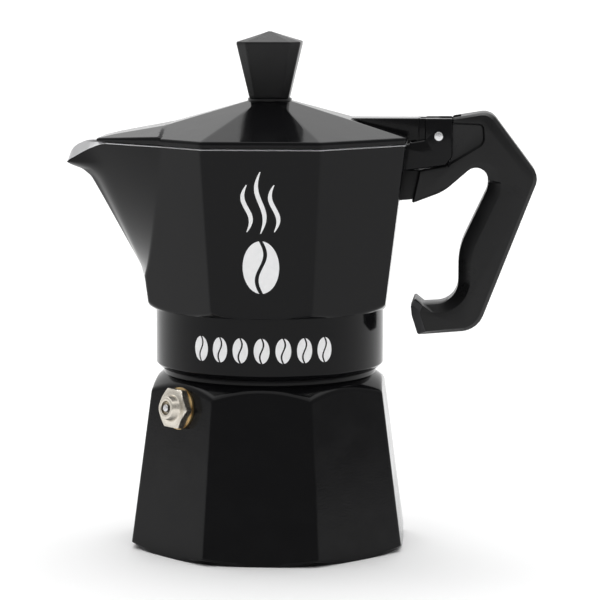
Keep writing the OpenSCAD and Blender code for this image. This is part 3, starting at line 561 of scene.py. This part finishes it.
# The lip rolls down towards the spout's tip: its outer edge from LIP_X on, its crest from
# LIP_CREST_X on
LIP_ARC, LIP_X = 20.5, -50.3
LIP_CREST_ARC, LIP_CREST_X = 6.5, -59.5
rim_x = body_side(angle, RIM_Z) * np.cos(angle)
past_lip = np.clip(LIP_X - rim_x, 0, LIP_ARC)
rim_z = RIM_Z - LIP_ARC + np.sqrt(LIP_ARC ** 2 - past_lip ** 2)
top_share = np.concatenate([np.linspace(0, 0.06, 8), np.linspace(0.08, 0.9, 40),
                            np.linspace(0.91, 1, 26)])[:, None]
# The lip's outer edge is broken by half a millimetre, which fades out at the tip
bevel = np.clip((past_lip - 1) / 5, 0, 1) * np.clip((past_lip.max() - past_lip) / 4, 0, 1)
edge_z = rim_z - 0.5 * bevel
past_crest = np.clip(LIP_CREST_X - rim_x, 0, LIP_CREST_ARC)
crest_z = RIM_Z - LIP_CREST_ARC + np.sqrt(LIP_CREST_ARC ** 2 - past_crest ** 2)
crest_z = np.maximum(rim_z, crest_z)
wall_z = BODY_Z + (edge_z - 0.3 - BODY_Z) * top_share
# The casting's lower edge is rounded where it stands out over the band
foot = FOOT_APOTHEM + 0.5 + np.interp(wall_z, BODY_Z + np.array([0, 0.9, 2.4]), [0, 1.5, 3.2])
foot = foot + np.clip(wall_z - BODY_Z - 2.4, 0, None) * 3
outside = soft_min(body_side(angle, wall_z), foot, 0.8)
# The wall thins towards the rim beside the spout
near_spout = np.clip(1 - np.abs(angle - np.pi) / np.radians(52), 0, 1) ** 0.5
in_share = np.concatenate([np.linspace(1, 0.9, 16), np.linspace(0.88, 0.1, 30),
                           np.linspace(0.08, 0, 5)])[:, None]
inner_z = FLOOR_Z + 1.5 + (crest_z - 0.25 - FLOOR_Z - 1.5) * in_share
inner_wall = WALL - 1.1 * near_spout * np.clip((in_share - 0.55) / 0.45, 0, 1) ** 1.5
inside = body_side(angle, inner_z, inner_wall, 1.2)
lip_out = outside[-1:] - 0.3
lip_in = inside[:1] + 0.25
bore_z = np.linspace(SEAT_Z, SKIRT_Z + 0.8, 60)[:, None]
bore = BORE_R + thread(angle, bore_z, SKIRT_Z + 1, SEAT_Z - 1.5, 0.6)
under = filleted([[COFFEE_R, DOME_Z, 0], [25.5, DOME_Z, 0.5], [25.5, DISC_Z, 0],
                  [28.3, DISC_Z, 0.2], [28.3, SEAT_Z, 0], [BORE_R, SEAT_Z, 0]], 3)
skirt = filleted([[BORE_R, SKIRT_Z + 0.5, 0], [NECK_R + 0.8, SKIRT_Z, 0.1],
                  [SKIRT_R - 1.6, SKIRT_Z, 0.3], [SKIRT_R, SKIRT_Z + 1.6, 0.5],
                  [SKIRT_R, BODY_Z - 0.01, 0.25], [FOOT_APOTHEM + 0.1, BODY_Z - 0.01, 0]], 5)
skirt = thinned(skirt, 3.0)
floor_path = np.array([[34.0, FLOOR_Z + 0.35], [32.8, FLOOR_Z], [20, FLOOR_Z], [5, FLOOR_Z],
                       [COFFEE_R, FLOOR_Z]])
rows = np.concatenate([
    placed(under[:, :1], angle, under[:, 1:]),
    placed(bore, angle, bore_z),
    placed(skirt[:, :1], angle, skirt[:, 1:]),
    placed(outside, angle, wall_z),
    placed(lip_out, angle, edge_z),
    placed(lip_in, angle, crest_z),
    placed(inside, angle, inner_z),
    placed(floor_path[:, :1], angle, floor_path[:, 1:]),
])
enamel_from = len(under) + len(bore_z) + 3
enamel_to = len(under) + len(bore_z) + len(skirt) + len(wall_z) - 1
bare = np.ones(len(rows), int)
bare[enamel_from:enamel_to] = 0
piece("upper_pot_shell", skin("upper_pot_shell", rows, True, 30, bare), "upper_pot",
      ["collector"], [enamel, aluminium])

# --- Marks --------------------------------------------------------------------------------
# Silver ink printed on the enamel: a coffee bean under three wisps of steam on the front
# facet, and a row of beans round the band.


def ink_finish():
    """Silver ink: fine flakes in a satin film, worn a little thinner in places."""
    material, tree, shader, place = finish("silver_ink")
    flakes = noise(tree, place, 9.0, 3.0, 0.7)
    wear = noise(tree, place, 0.7, 3.0)
    tree.links.new(mix_colour(tree, wear, (0.8, 0.8, 0.81, 1), (0.9, 0.9, 0.9, 1)),
                   shader.inputs["Base Color"])
    tree.links.new(map_range(tree, flakes, 0.3, 0.7, 0.34, 0.5), shader.inputs["Roughness"])
    shader.inputs["Metallic"].default_value = 0.1
    bump(tree, shader, flakes, 0.00001)
    return material


def print_strip(left, right, up, surface):
    """A thin strip of ink: between left and right at each height up, all in mm on the surface,
    which carries (across, up, out) to a place on the pot. It sinks a little into the wall."""
    steps, thick, sunk = 7, 0.05, -0.08
    across = np.concatenate([[0], np.linspace(0, 1, steps), [1]])[None, :]
    out = np.array([[sunk, *[thick] * steps, sunk]])
    return surface(left[:, None] + (right - left)[:, None] * across, up[:, None], out)


def bean(x, z, half_wide, half_high, gap):
    """The two halves of a bean, [left, right, up] each: an ellipse parted along an S line."""
    t = np.sin(np.linspace(-np.pi / 2, np.pi / 2, 30)) * 0.995
    rim = half_wide * np.sqrt(1 - t ** 2)
    crease = 0.24 * half_wide * np.sin(np.pi * t)
    half_gap = np.minimum(gap / 2, rim * 0.8)
    crease = np.clip(crease, half_gap - rim + 0.02, rim - half_gap - 0.02)
    up = z + half_high * t
    return [(x - rim, x + crease - half_gap, up), (x + crease + half_gap, x + rim, up)]


def wisp(x, z, high, width):
    """One wavy wisp of steam that thins towards both ends."""
    t = np.linspace(0, 1, 40)
    middle = x + 1.25 * np.sin(2 * np.pi * t)
    half = width / 2 * np.sin(np.pi * (0.03 + 0.94 * t)) ** 0.7
    return [(middle - half, middle + half, z + high * t)]


def on_facet(across, up, out):
    """The front facet, which leans out by BODY_LEAN."""
    across, up, out = np.broadcast_arrays(across, up, out)
    return np.stack([across, -body_apothem(up) - out / np.cos(BODY_LEAN), up], -1)


def on_band(across, up, out):
    """The band's front: across becomes an angle round the skirt."""
    across, up, out = np.broadcast_arrays(across, up, out)
    turn = np.pi * 1.5 + across / SKIRT_R
    return np.stack([(SKIRT_R + out) * np.cos(turn), (SKIRT_R + out) * np.sin(turn), up], -1)


def printed(name, strips, surface):
    """One piece out of all of the strips, each [left, right, up]."""
    grids = [print_strip(*strip, surface) for strip in strips]
    sheets = [skin("strip", grid) for grid in grids]
    joined = bmesh.new()
    for sheet in sheets:
        joined.from_mesh(sheet)
        bpy.data.meshes.remove(sheet)
    mesh = bpy.data.meshes.new(name)
    joined.to_mesh(mesh)
    joined.free()
    return piece(name, mesh, "upper_pot", (), [ink])


ink = ink_finish()
emblem = bean(0, 92.5, 5.6, 8.2, 1.2)
for x, z, tall in ((-4.2, 103.5, 14.5), (0, 103.0, 19), (4.2, 103.5, 14.5)):
    emblem += wisp(x, z, tall, 1.5)
printed("front_emblem", emblem, on_facet)
beans = []
for x in np.arange(-3, 4) * 6.7:
    beans += bean(x, 66.3, 2.45, 3.9, 0.55)
printed("band_beans", beans, on_band)

# --- Column -------------------------------------------------------------------------------
# A turned aluminium tube that stands on the floor, with a small pressed cap over its end that
# turns the coffee out to two sides.

COLUMN_TOP = FLOOR_Z + 37
lathe("coffee_column", [
    [COFFEE_R, FLOOR_Z, 0], [5.5, FLOOR_Z, 0], [4.3, COLUMN_TOP, 0.4], [COFFEE_R, COLUMN_TOP, 0.3],
    [COFFEE_R, FLOOR_Z, 0],
], "upper_pot", ["column"], aluminium, 64)
refinish(aluminium, "column_cap")

# --- Hinge lug ----------------------------------------------------------------------------
# Cast with the collector: a lug that runs out of the rim under the hinge and carries two
# ears, drilled through for the pin.

PIN_X, PIN_Z, PIN_R = 53.6, 130.9, 1.5
EAR_IN, EAR_OUT = 6.0, 8.6


def offset_corners(corners, insets):
    """The corners of a closed outline after each side, i to i + 1, moves in by insets[i]. The
    outline runs clockwise, and radii shrink or grow with the sides beside them."""
    here = corners[:, :2]
    step = np.roll(here, -1, 0) - here
    step = step / np.linalg.norm(step, axis=1, keepdims=True)
    inward = np.stack([step[:, 1], -step[:, 0]], 1)
    before, before_in = np.roll(step, 1, 0), np.roll(inward, 1, 0)
    shift_in, shift_before = insets[:, None], np.roll(insets, 1)[:, None]
    cross = before[:, 0] * step[:, 1] - before[:, 1] * step[:, 0]
    gap = inward * shift_in - before_in * shift_before
    travel = (gap[:, 0] * step[:, 1] - gap[:, 1] * step[:, 0]) / cross
    moved = here + before_in * shift_before + before * travel[:, None]
    mean_in = (insets + np.roll(insets, 1)) / 2
    radii = np.where(corners[:, 2] > 0, np.maximum(corners[:, 2] + np.sign(cross) * mean_in, 0.12), 0)
    return np.column_stack([moved, radii])


def plate(name, corners, y_low, y_high, inset=0.35, drop=0.35, steps=6):
    """A flat piece across the hinge: a clockwise outline [x, z, radius] from the pin, between
    y_low and y_high, whose edges are chamfered by inset on the face and drop on the edge.
    inset may be one value for each side of the outline."""
    corners = np.asarray(corners, float)
    insets = np.broadcast_to(np.asarray(inset, float), len(corners))
    drops = np.broadcast_to(np.asarray(drop, float), len(corners))
    rings = []
    for share_in, share_down in ((1.0, 0.0), (0.9, 0.02), (0.12, 0.8), (0.0, 1.0)):
        ring = filleted(offset_corners(corners, insets * share_in), steps, True)
        down = np.repeat(drops, [1 if r == 0 else steps + 1 for r in corners[:, 2]])
        rings.append((ring, down * share_down))
    low = [np.column_stack([r[:, 0] + PIN_X, y_low + d, r[:, 1] + PIN_Z]) for r, d in rings]
    high = [np.column_stack([r[:, 0] + PIN_X, y_high - d, r[:, 1] + PIN_Z]) for r, d in rings[::-1]]
    return skin(name, np.array(low + high), smooth_angle=30)


ear = [[-4.3, 5.6, 0.6], [4.35, 5.6, 0.5], [4.35, -6.6, 3.4], [2.2, -9.05, 0.4],
       [-13, -11.2, 0], [-13, -2.5, 0], [-9.2, -2.5, 0.2], [-8.8, -2.0, 0.4], [-4.3, -1.2, 0.6]]
web = [[-13, -5.7, 0], [4.35, -5.7, 0], [4.35, -6.6, 0], [2.2, -9.05, 0.4], [-13, -11.2, 0]]
for name, y_low in (("hinge_ear_front", -EAR_OUT), ("hinge_ear_back", EAR_IN)):
    ear_mesh = plate(name, ear, y_low, y_low + EAR_OUT - EAR_IN)
    piece(name, ear_mesh, "upper_pot", (), [enamel])
piece("hinge_lug", plate("hinge_lug", web, -EAR_IN - 0.5, EAR_IN + 0.5, 0.1, 0.1), "upper_pot",
      (), [enamel])

# --- Hinge pin ----------------------------------------------------------------------------
# A bright steel pin, turned with slightly domed ends and pushed through the ears, the lid's
# fork and the handle's tongue.

PIN_END, PIN_DOME, PIN_SIDE = 8.75, 8.68, 8.3
pin = filleted([[0.15, -PIN_END, 0], [PIN_R - 0.1, -PIN_DOME, 0.3], [PIN_R, -PIN_SIDE, 0],
                [PIN_R, PIN_SIDE, 0], [PIN_R - 0.1, PIN_DOME, 0.3], [0.15, PIN_END, 0]], 4)
turn = np.linspace(0, 2 * np.pi, 48, endpoint=False)[None, :]
rows = placed(pin[:, :1], turn, pin[:, 1:])
rows = np.stack([rows[..., 1] + PIN_X, rows[..., 2], rows[..., 0] + PIN_Z], -1)
piece("hinge_pin_steel", skin("hinge_pin_steel", rows), "upper_pot", ["hinge_pin"],
      [steel])

# --- Handle -------------------------------------------------------------------------------
# Injection moulded black nylon: a block behind the ears with a shallow recess on each side, a
# jaw under the lug, and a grip that is chamfered on the finger side and ends in a hook.


def nylon_finish(name, low, high, rough_low, rough_high):
    """Moulded nylon, satin, with the mould's fine spark grain; low and high are its grays."""
    material, tree, shader, place = finish(name)
    grain = noise(tree, place, 4.5, 4.0, 0.6)
    flow = noise(tree, place, 0.08, 3.0)
    colour = mix_colour(tree, flow, (low, low, low * 1.05, 1), (high, high, high * 1.05, 1))
    tree.links.new(colour, shader.inputs["Base Color"])
    rough = map_range(tree, flow, 0.3, 0.7, rough_low, rough_high)
    rough = math(tree, "ADD", rough, math(tree, "MULTIPLY", grain, 0.06))
    tree.links.new(rough, shader.inputs["Roughness"])
    bump(tree, shader, grain, 0.000035)
    shader.inputs["IOR"].default_value = 1.32
    return material


nylon = nylon_finish("black_nylon", 0.006, 0.01, 0.24, 0.33)
# The second nylon is paler and matter than the first: a painted highlight, used on the hook's end
# faces
hook_end_painted_light = nylon_finish("hook_end_painted_light", 0.07, 0.1, 0.5, 0.6)
HANDLE_HALF, RECESS_DEPTH = 8.2, 1.0
GRIP_OUT, GRIP_DROP, KNUCKLE = 31.6, 63.2, 12.5
HEEL_X = GRIP_OUT - (GRIP_DROP - 2 - KNUCKLE) * np.tan(np.radians(21.2))
PALM_X, ARCH_X = HEEL_X - 6.2, GRIP_OUT - 16
outline = np.array([
    # x, z, radius, then the chamfer's width on the side face and its depth on the edge,
    # for the side that starts here
    [4.3, 5.8, 0.8, 0.7, 0.7],
    [16.4, 7.8, 5, 1.3, 1.3],
    [GRIP_OUT, -KNUCKLE, 5.5, 1.3, 1.3],
    [HEEL_X, 2 - GRIP_DROP, 8, 1.3, 1.3],
    [-6.2, -GRIP_DROP, 0.8, 3.2, 3.6],
    [-8.2, 6 - GRIP_DROP, 3, 3.2, 5.0],
    [-8.5, 8.9 - GRIP_DROP, 2, 3.6, 5.0],
    [-7.2, 12 - GRIP_DROP, 0.6, 0.3, 0.8],
    [-4.4, 9.9 - GRIP_DROP, 1.5, 3.0, 3.0],
    [PALM_X, 10.6 - GRIP_DROP, 7, 4.2, 3.4],
    [PALM_X, 27.6 - GRIP_DROP, 22, 4.4, 3.4],
    [ARCH_X, -16.3, 7, 4.4, 3.4],
    [ARCH_X, -5.3, 3.8, 1.0, 0.9],
    [1.7, -17.4, 16, 0.8, 0.8],
    [-8.4, -21.2, 0.5, 0.7, 0.7],
    [-6.1, -10.75, 0.4, 1.1, 0.9],
    [2.6, -8.95, 0, 1.1, 0.9],
    [4.3, -6.9, 3.0, 0.4, 0.4],
])
handle_mesh = plate("handle_moulding", outline[:, :3], -HANDLE_HALF, HANDLE_HALF,
                    outline[:, 3], outline[:, 4], 8)


def face_values(mesh, name):
    """The vector of that name for each face, a row to a face."""
    values = np.empty(3 * len(mesh.polygons), np.float32)
    mesh.polygons.foreach_get(name, values)
    return values.reshape(-1, 3)


def cut_away(mesh, cutters):
    """The mesh less each of the cutter meshes, as one applied boolean after another. Its broad
    sides are shaded flat and the rest smooth."""
    work = bpy.data.objects.new("work", mesh)
    scene.collection.objects.link(work)
    tools = []
    for cutter in cutters:
        tool = bpy.data.objects.new("tool", cutter)
        scene.collection.objects.link(tool)
        tools.append(tool)
        cut = work.modifiers.new("cut", "BOOLEAN")
        cut.operation, cut.solver, cut.object = "DIFFERENCE", "EXACT", tool
        cut.use_self = cut.use_hole_tolerant = True
    graph = bpy.context.evaluated_depsgraph_get()
    result = bpy.data.meshes.new_from_object(work.evaluated_get(graph))
    for made in [work] + tools:
        bpy.data.objects.remove(made)
    result.polygons.foreach_set("use_smooth", np.abs(face_values(result, "normal")[:, 1]) < 0.999)
    result.name = mesh.name + "_cut"
    result.set_sharp_from_angle(angle=np.radians(30))
    return result


# The room that the lid's fork swings in: an arc round the pin, with a straight stop behind
SWING_R, SWING_HALF, SWING_TOP, STOP = 5.85, 6.15, 11.0, np.radians(-10)
sweep = np.linspace(STOP, -np.pi / 2, 16)
stop = SWING_R * np.array([np.cos(STOP), np.sin(STOP)])
swing = np.concatenate([
    [[-1, SWING_TOP], stop + SWING_TOP * np.array([-np.sin(STOP), np.cos(STOP)])],
    SWING_R * np.stack([np.cos(sweep), np.sin(sweep)], 1),
    [[-1, -SWING_R]],
])
swing = np.column_stack([swing, np.zeros(len(swing))])
recess = np.array([[3.0, 4.4, 0], [14.2, 4.0, 1.8], [14.6, -2.4, 3.2], [3.0, -9.4, 0]])
cutters = [
    plate("swing", swing, -SWING_HALF, SWING_HALF, 0.001, 0.001),
    plate("recess_front", recess, -HANDLE_HALF - 3, -HANDLE_HALF + RECESS_DEPTH, 0.7, 1.0),
    plate("recess_back", recess, HANDLE_HALF - RECESS_DEPTH, HANDLE_HALF + 3, 0.7, 1.0),
]
grip_mesh = cut_away(handle_mesh, cutters)
# The hook's end faces that face -X get a paler, matter nylon: a painted highlight for the light that
# this end face catches
middle = face_values(grip_mesh, "center")
at_hook = (middle[:, 2] < (PIN_Z - 51) * MM) & (middle[:, 0] < (PIN_X - 3) * MM)
painted_light_faces = at_hook & (face_values(grip_mesh, "normal")[:, 0] < -0.5)
grip_mesh.polygons.foreach_set("material_index", painted_light_faces.astype(np.int32))
piece("handle_grip", grip_mesh, "upper_pot", ["handle"], [nylon, hook_end_painted_light])
tongue = [[-4.5, 4.5, 4], [3.5, 4.5, 2], [7.5, 0, 0], [7.5, -4.5, 0], [-4.5, -4.5, 4]]
piece("handle_tongue", plate("handle_tongue", tongue, -2.75, 2.75), "upper_pot",
      (), [nylon])
rib = [[-11.4, -11.0, 0], [-4.0, -10.6, 0], [-6.0, -20.0, 0], [-12.5, -20.6, 0]]
piece("handle_rib", plate("handle_rib", rib, -4.1, 4.1), "upper_pot",
      (), [nylon])

# --- Lid ----------------------------------------------------------------------------------
# Cast aluminium, enamelled: eight slopes that rise to the knob, a beak over the spout with a
# blunt nose, and a rim turned flat underneath.

LID_Z, EDGE_Z, APEX_Z = 129.0, 131.0, 143.6
LID_APOTHEM = 43.7
SLOPE = (APEX_Z - EDGE_Z) / LID_APOTHEM
LID_T, KNOB_Z, HUB_R = 1.5, 142.48, 7.0
# How far out along a slope the hub under the knob reaches
HUB_SHARE = HUB_R / 44
BOSS_R, BOSS_Z, SCREW_HOLE_R = 5.6, 139.6, 2.1
FLANK_HALF = np.radians(40.5)
BEAK_START, NOSE_X = 32.0, 54.2
BEAK_Z, BEAK_HALF, ROOF_SLOPE = 134.38, 13.25, 0.181
SIDE_SLOPE, SIDE_FALL = 0.215, 0.168
NOSE_Z, NOSE_SLOPE, NOSE_CREST = 131.4, 0.25, 48.6
# How wide ridges are rounded, and a height near the beak's that keeps the exponents small
RIDGE, LEVEL = 0.05, 130


def lid_top(x, y):
    """Height of the lid over x, y: the least of eight planes, with their ridges rounded; past
    the beak's start the least of the beak's roof, its two sides and its nose."""
    around = np.arange(8).reshape(8, *[1] * np.ndim(x)) * np.pi / 4
    planes = SLOPE * (x * np.cos(around) + y * np.sin(around))
    pyramid = APEX_Z - RIDGE * np.log(np.exp(planes / RIDGE).sum(0))
    roof = BEAK_Z + ROOF_SLOPE * (x + BEAK_START)
    side = BEAK_Z + SIDE_SLOPE * (x + BEAK_START) - SIDE_FALL * (np.abs(y) - BEAK_HALF)
    nose = NOSE_Z + NOSE_SLOPE * (x + NOSE_CREST)
    slopes = np.stack([roof, side, nose]) - LEVEL
    beak = LEVEL - RIDGE * np.log(np.exp(-slopes / RIDGE).sum(0))
    return np.where(x < -BEAK_START, beak, pyramid)


def lid_ring(angle, inset=0.0):
    """The lid's outline: the octagon, or the beak's flanks and nose where they stand out."""
    from_prow = off_prow(angle)
    out = SPOUT_TIP - inset / np.sin(FLANK_HALF)
    flank = out / (np.cos(from_prow) + np.sin(from_prow) / np.tan(FLANK_HALF))
    nose = (NOSE_X - inset) / np.cos(np.minimum(from_prow, 1.2))
    beak = np.where(from_prow < FLANKS_END, np.minimum(flank, nose), 0)
    return np.maximum(octagon(angle, LID_APOTHEM - inset), beak)


def lid_side(inset):
    """lid_ring with its edges rounded."""
    return eased(lambda a: lid_ring(a, inset), angle, 0.5)


edge = lid_side(0.0)
edge_top = lid_top(edge * np.cos(angle), edge * np.sin(angle))
share = np.concatenate([np.linspace(0.992, 0.9, 10), np.linspace(0.88, 0.2, 56), [HUB_SHARE]])
share = share[:, None]
slope_r = HUB_R + (edge - HUB_R) * (share - HUB_SHARE) / (1 - HUB_SHARE)
slope_z = lid_top(slope_r * np.cos(angle), slope_r * np.sin(angle))
hollow = lid_side(3.0)
in_share = np.concatenate([np.linspace(0, 0.85, 24), np.linspace(0.88, 1, 8)])[:, None]
hollow_r = BOSS_R + (hollow - BOSS_R) * in_share
hollow_z = lid_top(hollow_r * np.cos(angle), hollow_r * np.sin(angle)) - LID_T
rows = np.concatenate([
    placed(np.array([[SCREW_HOLE_R], [BOSS_R - 0.3]]), angle, BOSS_Z - 0.22),
    placed(BOSS_R, angle, np.array([[BOSS_Z]])),
    placed(hollow_r, angle, hollow_z),
    placed(hollow, angle, np.array([[LID_Z + 0.2]])),
    placed(lid_side(2.8), angle, LID_Z),
    placed(lid_side(0.35), angle, LID_Z),
    placed(lid_side(0.08), angle, LID_Z + 0.15),
    placed(edge, angle, LID_Z + 0.4),
    placed(edge, angle, edge_top - 0.4),
    placed(lid_side(0.1), angle, edge_top - 0.12),
    placed(slope_r, angle, slope_z),
    placed(HUB_R, angle, np.array([[KNOB_Z - 0.2]])),
    placed(np.array([[HUB_R - 0.2], [SCREW_HOLE_R]]), angle, KNOB_Z),
])
bare = np.zeros(len(rows), int)
bare[: 3 + len(hollow_r) + 2] = 1
piece("lid_shell", skin("lid_shell", rows, True, 24, bare), "lid", ["lid"],
      [enamel, aluminium])

# --- Lid arm ------------------------------------------------------------------------------
# Cast with the lid: a level arm from the slope to the hinge, forked round the handle's tongue
# and drilled for the pin.

arm = [[-27.6, 5.5, 0], [-5.7, 5.5, 0.3], [-5.7, -4.6, 0.3], [-7.2, -4.6, 0.4],
       [-7.2, -2.0, 0.3], [-10.6, -1.8, 0]]
prong = [[-6.4, 5.5, 0], [0.0, 5.5, 0.6], [3.6, 4.0, 2.0], [4.8, 0, 2.4], [3.6, -3.6, 2.2],
         [0, -4.8, 2.2], [-6.4, -4.6, 0.0]]
ARM_HALF, PRONG_T = 5.85, 2.8
piece("lid_arm", plate("lid_arm", arm, -ARM_HALF, ARM_HALF), "lid", (), [enamel])
for name, y_low in (("lid_fork_front", -ARM_HALF), ("lid_fork_back", ARM_HALF - PRONG_T)):
    prong_mesh = plate(name, prong, y_low, y_low + PRONG_T, 0.25, 0.25)
    piece(name, prong_mesh, "lid", (), [enamel])

# --- Knob ---------------------------------------------------------------------------------
# Moulded nylon with a brass insert: a square with its corners cut off, which flares upwards to
# a narrow band and ends in a low point. A screw from inside the lid holds it.

KNOB_FOOT, KNOB_TOP, KNOB_FLARE_Z, KNOB_TIP = 6.2, 10.1, 159.48, 163.48
CORNER_CUT = 1.188


def knob_ring(angle, half):
    """The least of the four broad faces and the four narrow ones over the corners."""
    broad = half / np.cos((angle + np.pi / 4) % (np.pi / 2) - np.pi / 4)
    narrow = half * CORNER_CUT / np.cos(angle % (np.pi / 2) - np.pi / 4)
    return np.minimum(broad, narrow)


knob = thinned(filleted([
    [KNOB_FOOT - 0.5, KNOB_Z, 0], [KNOB_FOOT, KNOB_Z, 0.3], [KNOB_TOP, KNOB_FLARE_Z, 0.5],
    [KNOB_TOP, KNOB_FLARE_Z + 0.8, 0.35], [3.6, KNOB_TIP - 1.1, 5], [0.4, KNOB_TIP, 0],
], 6), 0.8)
turn = np.radians((45 * np.arange(8)[:, None] + np.linspace(0, 45, 24, endpoint=False)).ravel())
turn = turn[None, :]
rows = placed(eased(lambda a: knob_ring(a, knob[:, :1]), turn, 1.3), turn, knob[:, 1:])
piece("knob_moulding", skin("knob_moulding", rows, smooth_angle=24), "lid",
      ["knob"], [nylon])
refinish(brass, "knob_insert")
refinish(steel, "knob_screw", "knob_washer")
